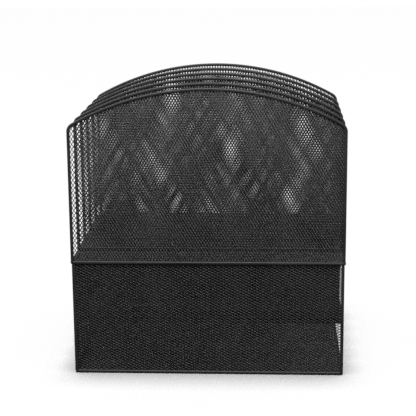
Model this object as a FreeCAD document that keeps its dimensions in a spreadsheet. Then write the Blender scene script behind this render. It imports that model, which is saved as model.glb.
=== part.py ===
"""Mesh desk organizer: five upright sections on a base with a sliding drawer and a letter tray.

Millimetres. +X is the open front, where the drawer pulls out; +Z is up; the origin is on the
surface the organizer stands on, under its middle. The upright panels lie in XZ planes, side by
side along Y. Each sheet of steel mesh is a plain thin plate, and each bound edge is a strip of
folded steel around its plate.
"""
import FreeCAD, Part
import os
import re

Vector = FreeCAD.Vector

# ---- driving dimensions ---------------------------------------------------------------------

SIZES = {
    # the strip that binds every edge, and the mesh inside it
    "rim_width": (3.6, "binding, seen square to the mesh"),
    "rim_thickness": (2.6, "binding, through the mesh"),
    "mesh_thickness": (0.8, "flattened expanded steel"),
    # upright panels
    "section_count": (5, "upright sections"),
    "section_pitch": (47.7, "from one panel's plane to the next"),
    "panel_overhang": (1.0, "panel beyond each end of the base"),
    "arch_top": (330.0, "top of the arch above the desk"),
    "arch_radius": (306.0, "outer radius of the arch"),
    "shoulder_radius": (10.0, "outer corner between the arch and the upright edge"),
    # base
    "base_length": (308.0, "front to back"),
    "base_height": (133.5, "top of the rack floor above the desk"),
    "rack_frame_overhang": (0.5, "rack floor frame beyond each end of the panels"),
    "shelf_height": (64.4, "top of the shelf above the desk"),
    "side_corner_radius": (4.4, "lower corners of the base's sides"),
    # drawer
    "drawer_side_gap": (1.2, "drawer to side binding, each side"),
    "drawer_under_gap": (0.3, "drawer to shelf"),
    "drawer_over_gap": (2.5, "drawer to rack floor frame"),
    "drawer_back_gap": (2.0, "drawer to back wall when shut"),
    "drawer_recess": (4.0, "drawer front behind the base's front edge"),
    "rear_compartment": (149.0, "clear length behind the first divider"),
    "middle_compartment": (47.5, "clear length between the dividers"),
    "finger_dip_width": (84.0, "pull cut-out in the drawer's front wall"),
    "finger_dip_depth": (14.0, "its depth below the drawer's top"),
}

doc = FreeCAD.newDocument("desk_organizer")
sheet = doc.addObject("Spreadsheet::Sheet", "sizes")
for line, (alias, (value, note)) in enumerate(SIZES.items(), start=1):
    sheet.set(f"A{line}", note)
    sheet.set(f"B{line}", str(value))
    sheet.setAlias(f"B{line}", alias)
doc.recompute()

# Lengths that several pieces share, written with the sheet's aliases.
SHARED = {
    "side_plane": "(section_count * section_pitch / 2)",
    "inner_face": "(side_plane - rim_thickness / 2)",
    "panel_half": "(base_length / 2 + panel_overhang)",
    "rack_bottom": "(base_height - rim_width)",
    "base_front": "(base_length / 2)",
    "base_back": "(-base_length / 2)",
    "back_inside": "(base_back + rim_thickness)",
    "shelf_bottom": "(shelf_height - rim_width)",
    "drawer_half": "(inner_face - drawer_side_gap)",
    "drawer_rear": "(back_inside + drawer_back_gap)",
    "drawer_nose": "(base_front - drawer_recess)",
    "drawer_bottom": "(shelf_height + drawer_under_gap)",
    "drawer_top": "(rack_bottom - drawer_over_gap)",
    "drawer_inside": "(drawer_half - rim_thickness)",
    "mesh_inset": "((rim_thickness - mesh_thickness) / 2)",
    "drawer_floor_bottom": "(drawer_bottom + mesh_inset)",
    "drawer_floor_top": "(drawer_floor_bottom + mesh_thickness)",
    "divider_1_rear": "(drawer_rear + rim_thickness + rear_compartment)",
    "divider_2_rear": "(divider_1_rear + rim_thickness + middle_compartment)",
    "dip_bottom": "(drawer_top - finger_dip_depth)",
    "dip_radius": "((finger_dip_width ^ 2 / 4 + finger_dip_depth ^ 2) / (2 * finger_dip_depth))",
}


def formula(text):
    """Write out the shared lengths, then point each alias at the sheet."""
    words = re.compile(r"[a-z]\w*")
    while any(word in SHARED for word in words.findall(text)):
        text = words.sub(lambda m: SHARED.get(m.group(), m.group()), text)
    return words.sub(lambda m: "sizes." + m.group() if m.group() in SIZES else m.group(), text)


def bind(feature, prop, text):
    feature.setExpression(prop, formula(text))


# ---- shapes that the pieces are made from ---------------------------------------------------

def box(x, y, z):
    """A block between a low and a high formula on each axis."""
    block = doc.addObject("Part::Box", "block")
    sides = (("Length", "x", x), ("Width", "y", y), ("Height", "z", z))
    for prop, axis, (low, high) in sides:
        bind(block, prop, f"({high}) - ({low})")
        bind(block, f"Placement.Base.{axis}", low)
    return block


def cylinder(radius, height, across, base):
    """A cylinder of the given radius along `across`, from `base`, a formula for each axis."""
    drum = doc.addObject("Part::Cylinder", "drum")
    bind(drum, "Radius", radius)
    bind(drum, "Height", height)
    drum.Placement.Rotation = FreeCAD.Rotation(Vector(0, 0, 1), across)
    for axis, place in zip("xyz", base):
        bind(drum, f"Placement.Base.{axis}", place)
    return drum


def combine(kind, base, tool):
    """Part::Cut, Part::Fuse or Part::Common of two features."""
    result = doc.addObject(kind, kind.split("::")[1].lower())
    result.Base = base
    result.Tool = tool
    return result


def round_edges(feature, radius, wanted):
    """Fillet the straight edges along Y whose middle point `wanted` accepts."""
    doc.recompute()
    chosen = []
    for number, edge in enumerate(feature.Shape.Edges, start=1):
        first, last = edge.firstVertex().Point, edge.lastVertex().Point
        along_y = abs(first.x - last.x) < 1e-6 and abs(first.z - last.z) < 1e-6
        if along_y and wanted((first + last) / 2):
            chosen.append((number, radius, radius))
    rounded = doc.addObject("Part::Fillet", "rounded")
    rounded.Base = feature
    rounded.Edges = chosen
    return rounded


def piece(feature, name):
    """Give a finished feature its node name."""
    feature.Label = name
    PIECES.append(feature)
    return feature


def loop(outer, inner):
    """A rectangular frame: the outer block less the inner one."""
    return combine("Part::Cut", box(*outer), box(*inner))


def centred(thickness):
    """From half a thickness below zero to half above."""
    return f"-{thickness} / 2", f"{thickness} / 2"


def both_ways(half):
    return f"-{half}", half


PIECES = []

# ---- rack: six arch-topped panels, bound around the edge ------------------------------------

def arch(inset, thickness, foot):
    """A plate with upright sides and an arched top, drawn in by `inset`, standing on `foot`."""
    block = box(both_ways(f"(panel_half - {inset})"), centred(thickness), (foot, "arch_top + 1"))
    centre = ("0", f"-{thickness} / 2", "arch_top - arch_radius")
    drum = cylinder(f"arch_radius - {inset}", thickness, Vector(0, 1, 0), centre)
    plate = combine("Part::Common", block, drum)
    radius = sheet.shoulder_radius - (0 if inset == "0" else sheet.rim_width)
    middle = sheet.base_height + sheet.rim_width
    return round_edges(plate, radius, lambda point: point.z > middle + sheet.rim_width)


def upright_panel(number, count):
    """The two outer panels stand over the base's sides; the others have a bottom binding."""
    outer_panel = number in (1, count)
    mesh_foot = "base_height" if outer_panel else "base_height + rim_width"
    plane = f"({number - 1} - section_count / 2) * section_pitch"
    hollow = arch("rim_width", "(2 * rim_thickness)", mesh_foot)
    rim = combine("Part::Cut", arch("0", "rim_thickness", "base_height"), hollow)
    for feature, kind in ((arch("rim_width", "mesh_thickness", mesh_foot), "mesh"), (rim, "rim")):
        bind(feature, "Placement.Base.y", plane)
        piece(feature, f"upright_panel_{number}_{kind}")


panel_count = int(sheet.section_count) + 1
for number in range(1, panel_count + 1):
    upright_panel(number, panel_count)

# ---- rack floor: a sheet in a frame that the panels stand on --------------------------------

frame_half = "(panel_half + rack_frame_overhang)"
floor_half = f"({frame_half} - rim_thickness)"
frame_side = "(side_plane + rim_thickness / 2)"
rack_floor_frame = loop(
    (both_ways(frame_half), both_ways(frame_side), ("rack_bottom", "base_height")),
    (both_ways(floor_half), both_ways("inner_face"), ("rack_bottom - 1", "base_height + 1")),
)
piece(rack_floor_frame, "rack_floor_frame")
rack_floor = box(both_ways(floor_half), both_ways("inner_face"),
                 ("base_height - mesh_thickness", "base_height"))
piece(rack_floor, "rack_floor_mesh")

# ---- base: two sides and a back wall --------------------------------------------------------

for side, sign in (("left", "-"), ("right", "")):
    plane = f"{sign}side_plane"
    outline = box(("base_back", "base_front"), centred("rim_thickness"), ("0", "rack_bottom"))
    outline = round_edges(outline, sheet.side_corner_radius, lambda point: point.z < 1)
    window = box(("base_back + rim_width", "base_front - rim_width"), centred("(2 * rim_thickness)"),
                 ("rim_width", "rack_bottom + 1"))
    side_rim = combine("Part::Cut", outline, window)
    side_mesh = box(("base_back + rim_width", "base_front - rim_width"),
                    (f"{plane} - mesh_thickness / 2", f"{plane} + mesh_thickness / 2"),
                    ("rim_width", "rack_bottom"))
    bind(side_rim, "Placement.Base.y", plane)
    piece(side_mesh, f"{side}_side_mesh")
    piece(side_rim, f"{side}_side_rim")

back_rim = loop(
    (("base_back", "back_inside"), both_ways("inner_face"), ("rim_width", "rack_bottom")),
    (("base_back - 1", "back_inside + 1"), both_ways("(inner_face - rim_width)"),
     ("2 * rim_width", "rack_bottom - rim_width")),
)
piece(back_rim, "back_rim")
back_mesh = box(("base_back + mesh_inset", "back_inside - mesh_inset"),
                both_ways("(inner_face - rim_width)"),
                ("2 * rim_width", "rack_bottom - rim_width"))
piece(back_mesh, "back_mesh")

# ---- base: tray floor on the desk, and the shelf that carries the drawer --------------------


def level(name, rear, bottom, top):
    """A framed sheet between the sides, with the sheet flush with the frame's top."""
    inside = (f"{rear} + rim_width", "base_front - rim_width")
    width = both_ways("(inner_face - rim_width)")
    frame = loop(
        ((rear, "base_front"), both_ways("inner_face"), (bottom, top)),
        (inside, width, (f"{bottom} - 1", f"{top} + 1")),
    )
    piece(frame, f"{name}_frame")
    piece(box(inside, width, (f"{top} - mesh_thickness", top)), f"{name}_mesh")


level("tray_floor", "base_back", "0", "rim_width")
level("shelf", "back_inside", "shelf_bottom", "shelf_height")

# ---- drawer ---------------------------------------------------------------------------------

drawer_length = ("drawer_rear", "drawer_nose")
drawer_clear = ("drawer_rear + rim_thickness", "drawer_nose - rim_thickness")
drawer_width = both_ways("drawer_half")
drawer_clear_width = both_ways("drawer_inside")

bottom_rim = loop(
    (drawer_length, drawer_width, ("drawer_bottom", "drawer_bottom + rim_width")),
    (drawer_clear, drawer_clear_width, ("drawer_bottom - 1", "drawer_bottom + rim_width + 1")),
)
piece(bottom_rim, "drawer_bottom_rim")
drawer_floor = box(drawer_clear, drawer_clear_width, ("drawer_floor_bottom", "drawer_floor_top"))
piece(drawer_floor, "drawer_floor_mesh")


def dip_drum(extra, rear):
    """The round cutter of the finger dip, `extra` larger, from `rear` out past the front."""
    centre = (rear, "0", "dip_bottom + dip_radius")
    return cylinder(f"dip_radius + {extra}", "2 * rim_thickness + 1", Vector(1, 0, 0), centre)


# The top binding runs round all four walls and follows the finger dip in the front one.
dip_rear = "drawer_nose - rim_thickness"
top_loop = loop(
    (drawer_length, drawer_width, ("drawer_top - rim_width", "drawer_top")),
    (drawer_clear, drawer_clear_width, ("drawer_top - rim_width - 1", "drawer_top + 1")),
)
straight_part = combine("Part::Cut", top_loop, dip_drum("0", dip_rear))
dip_ring = combine("Part::Cut", dip_drum("rim_width", dip_rear), dip_drum("0", dip_rear))
front_band = box((dip_rear, "drawer_nose"), both_ways("finger_dip_width"),
                 ("dip_bottom - rim_width", "drawer_top"))
dip_part = combine("Part::Common", dip_ring, front_band)
piece(combine("Part::Fuse", straight_part, dip_part), "drawer_top_rim")

# Walls: the side sheets run the full length, the front and back ones fit between them.
wall_height = ("drawer_bottom + rim_width", "drawer_top - rim_width")
wall_length = ("drawer_rear + mesh_inset", "drawer_nose - mesh_inset")
wall_outer = "(drawer_half - mesh_inset)"
wall_inner = "(drawer_half - mesh_inset - mesh_thickness)"
piece(box(wall_length, (f"-{wall_outer}", f"-{wall_inner}"), wall_height), "drawer_left_mesh")
piece(box(wall_length, (wall_inner, wall_outer), wall_height), "drawer_right_mesh")
piece(box(("drawer_rear + mesh_inset", "drawer_rear + mesh_inset + mesh_thickness"),
          both_ways(wall_inner), wall_height), "drawer_back_mesh")
front_sheet = box(("drawer_nose - mesh_inset - mesh_thickness", "drawer_nose - mesh_inset"),
                  both_ways(wall_inner), wall_height)
front_cutter = dip_drum("rim_width", "drawer_nose - 2 * rim_thickness")
piece(combine("Part::Cut", front_sheet, front_cutter), "drawer_front_mesh")

# Cross dividers: bound sheets that stand on the drawer's floor.
for number in (1, 2):
    rear = f"divider_{number}_rear"
    standing = ("drawer_floor_top", "drawer_top")
    opening = ("drawer_floor_top + rim_width", "drawer_top - rim_width")
    opening_width = both_ways("(drawer_inside - rim_width)")
    divider_rim = loop(
        ((rear, f"{rear} + rim_thickness"), drawer_clear_width, standing),
        ((f"{rear} - 1", f"{rear} + rim_thickness + 1"), opening_width, opening),
    )
    piece(divider_rim, f"drawer_divider_{number}_rim")
    divider_mesh = box((f"{rear} + mesh_inset", f"{rear} + mesh_inset + mesh_thickness"),
                       opening_width, opening)
    piece(divider_mesh, f"drawer_divider_{number}_mesh")

# ---- check every feature, then write each piece ---------------------------------------------

doc.recompute()
for feature in doc.Objects:
    if {"Invalid", "Error"} & set(feature.State):
        raise RuntimeError(f"{feature.Label} failed: {feature.State}")
for feature in PIECES:
    shape = feature.Shape
    if shape.isNull() or not shape.isValid() or len(shape.Solids) != 1:
        raise RuntimeError(f"{feature.Label} isn't one valid solid")

os.makedirs("parts", exist_ok=True)
for feature in PIECES:
    feature.Shape.exportStep(f"parts/{feature.Label}.step")
print(len(PIECES), "pieces written")
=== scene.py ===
"""Steel-mesh desk organizer: expanded-steel sheets in folded bindings, powder-coated black.

Metres. +X is the open front, +Z is up. Two bodies: "stand", and "drawer", which slides along +X.
"""
import math

import bmesh
import bpy
from mathutils import Matrix, Vector


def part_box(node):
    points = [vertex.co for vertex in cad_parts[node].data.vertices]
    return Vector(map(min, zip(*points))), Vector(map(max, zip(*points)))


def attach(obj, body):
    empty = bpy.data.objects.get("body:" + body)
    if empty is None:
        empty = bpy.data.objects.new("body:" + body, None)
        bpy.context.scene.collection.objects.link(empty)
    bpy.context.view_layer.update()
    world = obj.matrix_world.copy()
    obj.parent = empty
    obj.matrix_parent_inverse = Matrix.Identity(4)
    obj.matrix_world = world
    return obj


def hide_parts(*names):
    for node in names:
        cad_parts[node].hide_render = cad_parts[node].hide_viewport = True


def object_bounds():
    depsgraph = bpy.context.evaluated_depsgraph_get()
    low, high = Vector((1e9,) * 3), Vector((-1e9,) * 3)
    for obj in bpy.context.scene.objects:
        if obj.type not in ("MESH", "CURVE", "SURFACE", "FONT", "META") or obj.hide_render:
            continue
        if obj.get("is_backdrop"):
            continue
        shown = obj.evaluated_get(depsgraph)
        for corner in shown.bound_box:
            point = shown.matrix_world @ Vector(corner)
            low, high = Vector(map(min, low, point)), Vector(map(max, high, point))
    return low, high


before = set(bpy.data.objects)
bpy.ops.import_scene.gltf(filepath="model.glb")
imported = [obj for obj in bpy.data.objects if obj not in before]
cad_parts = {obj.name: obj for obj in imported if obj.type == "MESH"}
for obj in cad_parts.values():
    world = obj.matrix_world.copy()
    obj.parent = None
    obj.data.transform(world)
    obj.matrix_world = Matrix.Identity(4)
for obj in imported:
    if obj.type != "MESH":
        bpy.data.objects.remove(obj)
cad_low, cad_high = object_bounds()

# ---- Powder coat ----------------------------------------------------------------------------
# Every steel part is sprayed with black polyester powder and baked. The coat flows out to a
# satin skin with a faint orange peel. It is thick and dull on the folded bindings, and thinner
# and a little glossier on the mesh's strands.

MM = 0.001
ORANGE_PEEL = 1.6 * MM
POWDER_GRAIN = 0.35 * MM
HANDLING_MARKS = 45 * MM
PEEL_HEIGHT = 0.05 * MM
GRAIN_HEIGHT = 0.01 * MM
POLYESTER_IOR = 1.5
COAT_SPECULAR = 0.25  # Half the usual level, because the matting powder scatters the rest.
DARKEST_AT, LIGHTEST_AT = 0.12, 0.42
MARK_RANGE = (0.3, 0.7)


def srgb(hex_colour):
    """An sRGB hex colour as the linear RGBA that a shader takes."""
    channels = [int(hex_colour[i:i + 2], 16) / 255 for i in (1, 3, 5)]
    linear = [c / 12.92 if c <= 0.04045 else ((c + 0.055) / 1.055) ** 2.4 for c in channels]
    return (*linear, 1.0)


def add_node(material, kind, inputs, **settings):
    """Add a node; each input is a value to set or another node's output to link."""
    node = material.node_tree.nodes.new(kind)
    for name, value in settings.items():
        setattr(node, name, value)
    for socket, value in inputs.items():
        if isinstance(value, bpy.types.NodeSocket):
            material.node_tree.links.new(value, node.inputs[socket])
        else:
            node.inputs[socket].default_value = value
    return node


def powder_coat(name, dark, light, smooth, rough, peel):
    """Black polyester powder coat, baked on steel: dark, satin and faintly pebbled.

    Handling leaves patches of slightly different gloss, from `smooth` to `rough`.
    """
    coat = bpy.data.materials.new(name)
    coat.use_nodes = True
    shader = coat.node_tree.nodes["Principled BSDF"]
    shader.inputs["IOR"].default_value = POLYESTER_IOR
    shader.inputs["Specular IOR Level"].default_value = COAT_SPECULAR
    place = add_node(coat, "ShaderNodeTexCoord", {}).outputs["Object"]
    marks = add_node(coat, "ShaderNodeTexNoise", {"Vector": place, "Scale": 1 / HANDLING_MARKS,
                                                  "Detail": 4.0, "Roughness": 0.6})
    grain = add_node(coat, "ShaderNodeTexNoise", {"Vector": place, "Scale": 1 / POWDER_GRAIN,
                                                  "Detail": 2.0})
    pebble = add_node(coat, "ShaderNodeTexNoise", {"Vector": place, "Scale": 1 / ORANGE_PEEL,
                                                   "Detail": 1.0})
    blend = add_node(coat, "ShaderNodeMath", {0: marks.outputs["Fac"], 1: grain.outputs["Fac"]},
                     operation="MULTIPLY")
    ramp = add_node(coat, "ShaderNodeValToRGB", {"Fac": blend.outputs["Value"]})
    ramp.color_ramp.elements[0].position = DARKEST_AT
    ramp.color_ramp.elements[0].color = srgb(dark)
    ramp.color_ramp.elements[1].position = LIGHTEST_AT
    ramp.color_ramp.elements[1].color = srgb(light)
    gloss = add_node(coat, "ShaderNodeMapRange", {"Value": marks.outputs["Fac"],
                                                  "From Min": MARK_RANGE[0],
                                                  "From Max": MARK_RANGE[1],
                                                  "To Min": smooth, "To Max": rough})
    skin = add_node(coat, "ShaderNodeBump", {"Height": pebble.outputs["Fac"], "Strength": peel,
                                             "Distance": PEEL_HEIGHT})
    fine = add_node(coat, "ShaderNodeBump", {"Height": grain.outputs["Fac"], "Strength": peel,
                                             "Distance": GRAIN_HEIGHT,
                                             "Normal": skin.outputs["Normal"]})
    links = coat.node_tree.links
    links.new(ramp.outputs["Color"], shader.inputs["Base Color"])
    links.new(gloss.outputs["Result"], shader.inputs["Roughness"])
    links.new(fine.outputs["Normal"], shader.inputs["Normal"])
    return coat


binding_coat = powder_coat("black_powder_coat_on_binding", "#141414", "#242424", 0.52, 0.64, 0.5)
mesh_coat = powder_coat("black_powder_coat_on_mesh", "#1a1a1a", "#2c2c2c", 0.36, 0.48, 0.3)

# ---- Bindings of the upright panels ---------------------------------------------------------
# Each upright sheet is edged with a strip of thin steel, folded over the mesh and crimped, that
# runs up one side, over the arch and down the other. The four inner panels have it along the
# bottom too; the two outer ones end on the rack floor's frame.

BINDING_WIDTH = 3.6 * MM
BINDING_THICKNESS = 2.6 * MM
FOLD_RADIUS = 1.1 * MM
FOLD_SEGMENTS = 3
SHARP = math.radians(50)
ARCH_RADIUS = 306 * MM
ARCH_STEPS = 40
SHOULDER_RADIUS = 10 * MM
SHOULDER_STEPS = 6
PANEL_COUNT = 6
SPARE_BINDING = 3 * BINDING_WIDTH  # Cut off again, with the strip's unwanted corners.
CUT_TOLERANCE = 1e-8


def lay(normal, centre):
    """Matrix from a flat drawing (u, v, thickness) to the plane that faces `normal`."""
    across = {"X": ((0, 1, 0), (0, 0, 1)),
              "Y": ((1, 0, 0), (0, 0, 1)),
              "Z": ((1, 0, 0), (0, 1, 0))}
    u, v = (Vector(axis) for axis in across[normal])
    turned = Matrix((u, v, u.cross(v))).transposed().to_4x4()
    return Matrix.Translation(centre) @ turned


def cut_away(bm, point, outward):
    """Cut the mesh with a plane and drop what lies on its outward side."""
    everything = bm.verts[:] + bm.edges[:] + bm.faces[:]
    bmesh.ops.bisect_plane(bm, geom=everything, dist=CUT_TOLERANCE, plane_co=point,
                           plane_no=outward, clear_outer=True)


def close_ends(bm):
    """Close each cut end with a flat face, square to the strip."""
    cut_edges = [e for e in bm.edges if e.is_boundary]
    bmesh.ops.holes_fill(bm, edges=cut_edges, sides=0)
    for edge in cut_edges:
        edge.smooth = False


def strip_round(bm, width, thickness):
    """Turn the single flat outline in `bm` into a strip of steel that runs round it."""
    outline = bm.faces[:]
    bmesh.ops.inset_region(bm, faces=outline, thickness=width, use_even_offset=True,
                           use_boundary=True)
    bmesh.ops.delete(bm, geom=outline, context="FACES")
    bmesh.ops.solidify(bm, geom=bm.faces[:], thickness=thickness)
    middle = sum(v.co.z for v in bm.verts) / len(bm.verts)
    bmesh.ops.translate(bm, vec=(0, 0, -middle), verts=bm.verts)


def fold_edges(bm):
    """Round the strip's sharp corners as folding rounds them."""
    sharp = [e for e in bm.edges if len(e.link_faces) == 2 and e.calc_face_angle(0) > SHARP]
    bmesh.ops.bevel(bm, geom=sharp, offset=FOLD_RADIUS, segments=FOLD_SEGMENTS, profile=0.5,
                    affect="EDGES", material=-1)


def finish_piece(bm, name, material, body, node):
    """Turn a bmesh into the piece that stands for a node and rides on a body."""
    bmesh.ops.recalc_face_normals(bm, faces=bm.faces)
    for face in bm.faces:
        face.smooth = True
    mesh = bpy.data.meshes.new(name)
    bm.to_mesh(mesh)
    bm.free()
    mesh.materials.append(material)
    piece = bpy.data.objects.new(name, mesh)
    bpy.context.scene.collection.objects.link(piece)
    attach(piece, body)
    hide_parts(node)


def arch_outline(half, foot, top):
    """A face of half width `half`, with upright sides, an arched top and round shoulders."""
    bm = bmesh.new()
    hub = top - ARCH_RADIUS
    shoulder = hub + math.sqrt(ARCH_RADIUS ** 2 - half ** 2)
    turn = math.asin(half / ARCH_RADIUS)
    first = bm.verts.new((half, shoulder, 0))
    swept = bmesh.ops.spin(bm, geom=[first], cent=(0, hub, 0), axis=(0, 0, 1), angle=2 * turn,
                           steps=ARCH_STEPS)
    last = swept["geom_last"][0]
    corners = [bm.verts.new((-half, foot, 0)), bm.verts.new((half, foot, 0))]
    for start, end in ((last, corners[0]), corners, (corners[1], first)):
        bm.edges.new((start, end))
    bmesh.ops.contextual_create(bm, geom=bm.edges[:])
    setback = SHOULDER_RADIUS * math.tan((math.pi / 2 - turn) / 2)
    bmesh.ops.bevel(bm, geom=[first, last], offset=setback, segments=SHOULDER_STEPS,
                    profile=0.5, affect="VERTICES", material=-1)
    return bm


rack_floor_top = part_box("rack_floor_mesh")[1].z
for number in range(1, PANEL_COUNT + 1):
    node = f"upright_panel_{number}_rim"
    low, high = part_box(node)
    outer_panel = number in (1, PANEL_COUNT)
    foot = low.z - SPARE_BINDING if outer_panel else low.z
    binding = arch_outline(high.x, foot, high.z)
    strip_round(binding, BINDING_WIDTH, BINDING_THICKNESS)
    fold_edges(binding)
    if outer_panel:
        cut_away(binding, (0, rack_floor_top, 0), (0, -1, 0))
        close_ends(binding)
    plane = lay("Y", (0, (low.y + high.y) / 2, 0))
    bmesh.ops.transform(binding, matrix=plane, verts=binding.verts)
    finish_piece(binding, f"upright_binding_{number}", binding_coat, "stand", node)

# ---- Upright sheets -------------------------------------------------------------------------
# Expanded steel: thin sheet is slit and stretched, so that it opens into rows of diamonds, then
# rolled flat. On the uprights the diamonds stand on end. The sheet's edge is inside the binding.

STRAND_WIDTH = 0.8 * MM
STRAND_THICKNESS = 0.8 * MM
UPRIGHT_OPENING = (3.36 * MM, 5.8 * MM)
EDGE_IN_BINDING = 1.2 * MM
ARCH_CUTS = 24
SHEET_SKEW = math.radians(0.5)  # Some sheets are cut this far out of square.
MERGE_DISTANCE = 0.001 * MM


def expanded_steel(size, opening, skew=0.0):
    """A flat sheet of diamond mesh, centred on the origin and larger than `size`."""
    bm = bmesh.new()
    wide, tall = opening
    spare_rows = 4
    rows = math.ceil(size[0] / wide + size[1] / tall) + spare_rows
    bmesh.ops.create_grid(bm, x_segments=rows, y_segments=rows, size=rows / 2)
    diamonds = (Matrix.Diagonal((wide, tall, 1, 1)) @ Matrix.Scale(math.sqrt(0.5), 4)
                @ Matrix.Rotation(math.radians(45), 4, "Z"))
    bmesh.ops.transform(bm, matrix=Matrix.Rotation(skew, 4, "Z") @ diamonds, verts=bm.verts)
    reach = (size[0] / 2 + wide, size[1] / 2 + tall)
    outside = []
    for face in bm.faces:
        centre = face.calc_center_median()
        if abs(centre.x) > reach[0] or abs(centre.y) > reach[1]:
            outside.append(face)
    bmesh.ops.delete(bm, geom=outside, context="FACES")
    # Opening each diamond leaves the strands; their middle lines are raised on both sides.
    crests = bm.verts[:]
    openings = bm.faces[:]
    bmesh.ops.inset_individual(bm, faces=openings, thickness=STRAND_WIDTH / 2,
                               use_even_offset=True)
    bmesh.ops.delete(bm, geom=openings, context="FACES_ONLY")
    back = bmesh.ops.duplicate(bm, geom=bm.verts[:] + bm.edges[:] + bm.faces[:])
    back_crests = [back["vert_map"][v] for v in crests]
    back_faces = [part for part in back["geom"] if isinstance(part, bmesh.types.BMFace)]
    bmesh.ops.reverse_faces(bm, faces=back_faces)
    bmesh.ops.translate(bm, vec=(0, 0, STRAND_THICKNESS / 2), verts=crests)
    bmesh.ops.translate(bm, vec=(0, 0, -STRAND_THICKNESS / 2), verts=back_crests)
    bmesh.ops.remove_doubles(bm, verts=bm.verts, dist=MERGE_DISTANCE)
    return bm


for number in range(1, PANEL_COUNT + 1):
    node = f"upright_panel_{number}_mesh"
    low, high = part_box(node)
    centre = (low + high) / 2
    skew = SHEET_SKEW * (number % 3 - 1)
    sheet = expanded_steel((high.x - low.x, high.z - low.z), UPRIGHT_OPENING, skew)
    half = high.x + EDGE_IN_BINDING
    arch = ARCH_RADIUS - BINDING_WIDTH + EDGE_IN_BINDING
    hub = high.z - centre.z - (ARCH_RADIUS - BINDING_WIDTH)
    sunk = 0 if number in (1, PANEL_COUNT) else EDGE_IN_BINDING
    cut_away(sheet, (half, 0, 0), (1, 0, 0))
    cut_away(sheet, (-half, 0, 0), (-1, 0, 0))
    cut_away(sheet, (0, low.z - centre.z - sunk, 0), (0, -1, 0))
    turn = math.asin(high.x / ARCH_RADIUS)
    for cut in range(ARCH_CUTS + 1):
        angle = turn * (2 * cut / ARCH_CUTS - 1)
        outward = Vector((math.sin(angle), math.cos(angle), 0))
        cut_away(sheet, Vector((0, hub, 0)) + outward * arch, outward)
    close_ends(sheet)
    bmesh.ops.transform(sheet, matrix=lay("Y", centre), verts=sheet.verts)
    finish_piece(sheet, f"upright_sheet_{number}", mesh_coat, "stand", node)

# ---- Frames and bindings of the base --------------------------------------------------------
# The rack floor, the shelf and the tray floor each have a rectangular frame of folded strip.
# The two sides and the back wall of the base are edged the same way; the sides' lower corners
# are bent round, and their strips run up to the rack floor's frame, which closes the box.

SIDE_CORNER_RADIUS = 4.4 * MM
FRAME_CORNER_RADIUS = 3.0 * MM
CORNER_STEPS = 5
AXES = "XYZ"


def flat_size(node, normal):
    """A node's centre, its size in the plane that faces `normal`, and its thickness there."""
    low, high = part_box(node)
    size = high - low
    u, v = (axis for axis in range(3) if AXES[axis] != normal)
    return (low + high) / 2, (size[u], size[v]), size[AXES.index(normal)]


def rectangle(size):
    """A flat rectangular face, centred on the origin."""
    bm = bmesh.new()
    bmesh.ops.create_grid(bm, x_segments=1, y_segments=1, size=0.5)
    bmesh.ops.scale(bm, vec=(*size, 1), verts=bm.verts)
    return bm


def bend_corners(bm, corners, radius):
    """Round some corners of a flat outline."""
    bmesh.ops.bevel(bm, geom=corners, offset=radius, segments=CORNER_STEPS, profile=0.5,
                    affect="VERTICES", material=-1)


def frame_round(node, normal, width, name, body, corner_radius=0.0):
    """A closed rectangular frame of folded strip in a node's place."""
    centre, size, thickness = flat_size(node, normal)
    bm = rectangle(size)
    if corner_radius:
        bend_corners(bm, bm.verts[:], corner_radius)
    strip_round(bm, width, thickness)
    fold_edges(bm)
    bmesh.ops.transform(bm, matrix=lay(normal, centre), verts=bm.verts)
    finish_piece(bm, name, binding_coat, body, node)


frame_round("rack_floor_frame", "Z", BINDING_THICKNESS, "rack_frame", "stand",
            FRAME_CORNER_RADIUS)
frame_round("shelf_frame", "Z", BINDING_WIDTH, "shelf_edge", "stand")
frame_round("tray_floor_frame", "Z", BINDING_WIDTH, "tray_edge", "stand")
frame_round("back_rim", "X", BINDING_WIDTH, "back_binding", "stand")

for side in ("left", "right"):
    node = f"{side}_side_rim"
    centre, size, thickness = flat_size(node, "Y")
    binding = rectangle((size[0], size[1] + SPARE_BINDING))
    bmesh.ops.translate(binding, vec=(0, SPARE_BINDING / 2, 0), verts=binding.verts)
    bend_corners(binding, [v for v in binding.verts if v.co.y < 0], SIDE_CORNER_RADIUS)
    strip_round(binding, BINDING_WIDTH, thickness)
    fold_edges(binding)
    cut_away(binding, (0, size[1] / 2, 0), (0, 1, 0))
    close_ends(binding)
    bmesh.ops.transform(binding, matrix=lay("Y", centre), verts=binding.verts)
    finish_piece(binding, f"{side}_side_binding", binding_coat, "stand", node)

# ---- Sheets of the base ---------------------------------------------------------------------
# The same expanded steel, laid with its diamonds lengthwise, closes the sides, the back, the
# rack floor, the shelf and the tray floor. Each sheet is cut to size and held in its frame.

BASE_OPENING = (6.35 * MM, 3.24 * MM)


def framed_sheet(node, normal, name, body, skew=0.0, trim=None):
    """A rectangular sheet of diamond mesh in a node's place, with its edges in the frame."""
    centre, size, _ = flat_size(node, normal)
    bm = expanded_steel(size, BASE_OPENING, skew)
    for axis in range(2):
        outward = Vector((axis == 0, axis == 1, 0))
        edge = outward * (size[axis] / 2 + EDGE_IN_BINDING)
        cut_away(bm, edge, outward)
        cut_away(bm, -edge, -outward)
    if trim:
        trim(bm, centre)
    close_ends(bm)
    bmesh.ops.transform(bm, matrix=lay(normal, centre), verts=bm.verts)
    finish_piece(bm, name, mesh_coat, body, node)


framed_sheet("left_side_mesh", "Y", "left_side_sheet", "stand", SHEET_SKEW)
framed_sheet("right_side_mesh", "Y", "right_side_sheet", "stand")
framed_sheet("back_mesh", "X", "back_sheet", "stand")
framed_sheet("rack_floor_mesh", "Z", "rack_floor_sheet", "stand")
framed_sheet("shelf_mesh", "Z", "shelf_sheet", "stand")
framed_sheet("tray_floor_mesh", "Z", "tray_floor_sheet", "stand")

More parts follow.
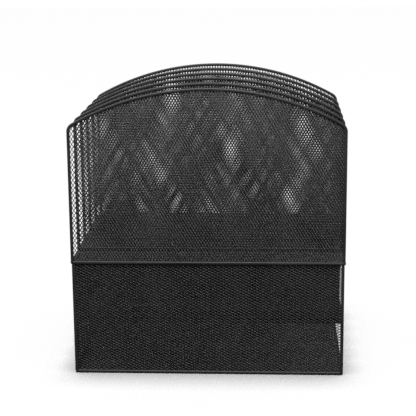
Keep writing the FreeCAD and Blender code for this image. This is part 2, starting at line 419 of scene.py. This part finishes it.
# ---- Drawer ---------------------------------------------------------------------------------
# A box of the same mesh between two frames of folded strip, with two cross dividers. It has no
# knob: its front wall dips in the middle, so that a finger can reach over it, and the top frame
# is bent down to follow the dip.

DIP_WIDTH = 84 * MM
DIP_DEPTH = 14 * MM
DIP_RADIUS = (DIP_WIDTH ** 2 / 4 + DIP_DEPTH ** 2) / (2 * DIP_DEPTH)
DIP_TURN = math.asin(DIP_WIDTH / 2 / DIP_RADIUS)
DIP_STEPS = 16
DIP_SHOULDER = 6 * MM

framed_sheet("drawer_floor_mesh", "Z", "drawer_floor_sheet", "drawer")
framed_sheet("drawer_left_mesh", "Y", "drawer_left_sheet", "drawer")
framed_sheet("drawer_right_mesh", "Y", "drawer_right_sheet", "drawer")
framed_sheet("drawer_back_mesh", "X", "drawer_back_sheet", "drawer")
frame_round("drawer_bottom_rim", "Z", BINDING_THICKNESS, "drawer_lower_frame", "drawer",
            FRAME_CORNER_RADIUS)
for number in (1, 2):
    divider = f"drawer_divider_{number}"
    frame_round(f"{divider}_rim", "X", BINDING_WIDTH, f"divider_{number}_binding", "drawer")
    framed_sheet(f"{divider}_mesh", "X", f"divider_{number}_sheet", "drawer")

rim_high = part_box("drawer_top_rim")[1]
drawer_half = rim_high.y
drawer_top = rim_high.z
dip_hub = drawer_top - DIP_DEPTH + DIP_RADIUS
straight_start = DIP_WIDTH / 2 + 2 * DIP_SHOULDER


def dipped_strip():
    """The stretch of the top frame that dips, from one straight part to the other.

    It starts as a closed strip that reaches well below the dip, and all but the dip is cut away.
    """
    bm = bmesh.new()
    foot = drawer_top - 5 * DIP_DEPTH
    first = bm.verts.new((DIP_WIDTH / 2, drawer_top, 0))
    swept = bmesh.ops.spin(bm, geom=[first], cent=(0, dip_hub, 0), axis=(0, 0, 1),
                           angle=-2 * DIP_TURN, steps=DIP_STEPS)
    last = swept["geom_last"][0]
    corners = [bm.verts.new(place) for place in ((-drawer_half, drawer_top, 0),
                                                 (-drawer_half, foot, 0),
                                                 (drawer_half, foot, 0),
                                                 (drawer_half, drawer_top, 0))]
    chain = [last, *corners, first]
    for start, end in zip(chain, chain[1:]):
        bm.edges.new((start, end))
    bmesh.ops.contextual_create(bm, geom=bm.edges[:])
    bend_corners(bm, [first, last], DIP_SHOULDER)
    strip_round(bm, BINDING_WIDTH, BINDING_THICKNESS)
    fold_edges(bm)
    cut_away(bm, (straight_start, 0, 0), (1, 0, 0))
    cut_away(bm, (-straight_start, 0, 0), (-1, 0, 0))
    cut_away(bm, (0, drawer_top - 3 * DIP_DEPTH, 0), (0, -1, 0))
    close_ends(bm)
    middle_x = rim_high.x - BINDING_THICKNESS / 2
    bmesh.ops.transform(bm, matrix=lay("X", (middle_x, 0, 0)), verts=bm.verts)
    return bm


# The rest of the top frame is straight strip, bent round at the drawer's four corners.
centre, size, _ = flat_size("drawer_top_rim", "Z")
centre.z = drawer_top - BINDING_WIDTH / 2
top_frame = rectangle(size)
bend_corners(top_frame, top_frame.verts[:], FRAME_CORNER_RADIUS)
strip_round(top_frame, BINDING_THICKNESS, BINDING_WIDTH)
fold_edges(top_frame)
for end in (straight_start, -straight_start):
    everything = top_frame.verts[:] + top_frame.edges[:] + top_frame.faces[:]
    bmesh.ops.bisect_plane(top_frame, geom=everything, dist=CUT_TOLERANCE, plane_co=(0, end, 0),
                           plane_no=(0, 1, 0))
gap = []
for face in top_frame.faces:
    place = face.calc_center_median()
    if place.x > 0 and abs(place.y) < straight_start:
        gap.append(face)
bmesh.ops.delete(top_frame, geom=gap, context="FACES")
close_ends(top_frame)
bmesh.ops.transform(top_frame, matrix=Matrix.Translation(centre), verts=top_frame.verts)
dip_part = dipped_strip()
dip_mesh = bpy.data.meshes.new("drawer_top_frame_dip")
dip_part.to_mesh(dip_mesh)
dip_part.free()
top_frame.from_mesh(dip_mesh)
bpy.data.meshes.remove(dip_mesh)
finish_piece(top_frame, "drawer_top_frame", binding_coat, "drawer", "drawer_top_rim")


def cut_dip(bm, centre):
    """Cut the round dip out of the front sheet, a little inside the strip that edges it."""
    radius = DIP_RADIUS + BINDING_WIDTH - EDGE_IN_BINDING
    hub = Vector((-centre.y, dip_hub - centre.z, 0))
    step = 2 * DIP_TURN / DIP_STEPS
    for cut in range(DIP_STEPS + 2):
        angle = (cut - (DIP_STEPS + 1) / 2) * step
        outward = Vector((math.sin(angle), -math.cos(angle), 0))
        near = []
        for face in bm.faces:
            arm = face.calc_center_median() - hub
            if abs(math.atan2(arm.x, -arm.y) - angle) < step:
                near.append(face)
        edges = {edge for face in near for edge in face.edges}
        verts = {vert for face in near for vert in face.verts}
        bmesh.ops.bisect_plane(bm, geom=[*verts, *edges, *near], dist=CUT_TOLERANCE,
                               plane_co=hub + outward * radius, plane_no=outward)
    inside = [f for f in bm.faces if (f.calc_center_median().xy - hub.xy).length < radius]
    bmesh.ops.delete(bm, geom=inside, context="FACES")


framed_sheet("drawer_front_mesh", "X", "drawer_front_sheet", "drawer", trim=cut_dip)

# ---- Floor, light and camera ----------------------------------------------------------------
# The organizer stands on a floor of matt white paint, in a white room. One softbox hangs above
# its long side, two larger ones stand at its ends, and two more light the open front and the
# far side.

FLOOR_SIZE = 6.0
FLOOR_ROUGHNESS = 0.9
FLOOR_LIGHT = 3.2
FLOOR_LIGHT_SPREAD = math.radians(20)
ROOM_LIGHT = 0.12
WHITE = srgb("#ffffff")

floor_mesh = bpy.data.meshes.new("floor")
floor_bm = bmesh.new()
bmesh.ops.create_grid(floor_bm, x_segments=1, y_segments=1, size=FLOOR_SIZE)
floor_bm.to_mesh(floor_mesh)
floor_bm.free()
floor = bpy.data.objects.new("floor", floor_mesh)
bpy.context.scene.collection.objects.link(floor)
floor_paint = bpy.data.materials.new("matt_white_paint")
floor_paint.use_nodes = True
floor_shader = floor_paint.node_tree.nodes["Principled BSDF"]
floor_shader.inputs["Base Color"].default_value = srgb("#f4f4f4")
floor_shader.inputs["Roughness"].default_value = FLOOR_ROUGHNESS
floor_mesh.materials.append(floor_paint)
# A white floor this wide would fill the black coat with its reflection.
floor.visible_diffuse = False
floor.visible_glossy = False
floor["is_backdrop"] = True

# The room looks white, but lights the organizer only faintly.
world = bpy.data.worlds.new("white_studio")
world.use_nodes = True
room = world.node_tree.nodes["Background"]
room.inputs["Color"].default_value = WHITE
room.inputs["Strength"].default_value = ROOM_LIGHT
backdrop = add_node(world, "ShaderNodeBackground", {"Color": WHITE})
seen = add_node(world, "ShaderNodeLightPath", {})
choice = add_node(world, "ShaderNodeMixShader", {0: seen.outputs["Is Camera Ray"],
                                                 1: room.outputs["Background"],
                                                 2: backdrop.outputs["Background"]})
world.node_tree.links.new(choice.outputs["Shader"],
                          world.node_tree.nodes["World Output"].inputs["Surface"])
bpy.context.scene.world = world
bpy.context.scene.view_settings.view_transform = "Standard"
# The mesh is nearly as fine as the render's noise, and denoising would smooth it away.
bpy.context.scene.cycles.use_denoising = False

# The floor has a light of its own, so that it stays white without washing out the black coat.
floor_group = bpy.data.collections.new("lit_by_floor_light")
floor_group.objects.link(floor)
floor_lamp = bpy.data.lights.new("floor_light", "SUN")
floor_lamp.energy = FLOOR_LIGHT
floor_lamp.angle = FLOOR_LIGHT_SPREAD
floor_holder = bpy.data.objects.new("floor_light", floor_lamp)
floor_holder.light_linking.receiver_collection = floor_group
bpy.context.scene.collection.objects.link(floor_holder)
all_but_floor = bpy.data.collections.new("not_lit_by_softboxes")
all_but_floor.objects.link(floor)
all_but_floor.collection_objects[0].light_linking.link_state = "EXCLUDE"


def softbox(name, place, size, power):
    """A square light that shines on the middle of the organizer."""
    lamp = bpy.data.lights.new(name, "AREA")
    lamp.size = size
    lamp.energy = power
    holder = bpy.data.objects.new(name, lamp)
    aim = (cad_low + cad_high) / 2 - Vector(place)
    holder.location = place
    holder.rotation_euler = aim.to_track_quat("-Z", "Y").to_euler()
    holder.light_linking.receiver_collection = all_but_floor
    bpy.context.scene.collection.objects.link(holder)


softbox("overhead_softbox", (-0.1, -0.65, 1.7), 0.6, 80)
softbox("left_softbox", (-1.6, -0.5, 0.6), 1.2, 9)
softbox("right_softbox", (1.6, -0.5, 0.6), 1.2, 11)
softbox("drawer_side_softbox", (1.5, 0.6, 1.1), 0.8, 20)
softbox("rear_softbox", (-1.2, 1.4, 1.3), 0.8, 25)

CAMERA_LENS = 107.1
CAMERA_PLACE = (0.0741, -1.4611, 0.5084)
CAMERA_TURN = math.radians(3.11)
CAMERA_TILT = math.radians(90 - 13.10)
CAMERA_ROLL = math.radians(-0.51)
camera = bpy.data.objects.new("camera", bpy.data.cameras.new("camera"))
camera.data.lens = CAMERA_LENS
camera.matrix_world = (Matrix.Translation(CAMERA_PLACE) @ Matrix.Rotation(CAMERA_TURN, 4, "Z")
                       @ Matrix.Rotation(CAMERA_TILT, 4, "X")
                       @ Matrix.Rotation(CAMERA_ROLL, 4, "Z"))
bpy.context.scene.collection.objects.link(camera)
bpy.context.scene.camera = camera

low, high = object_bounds()
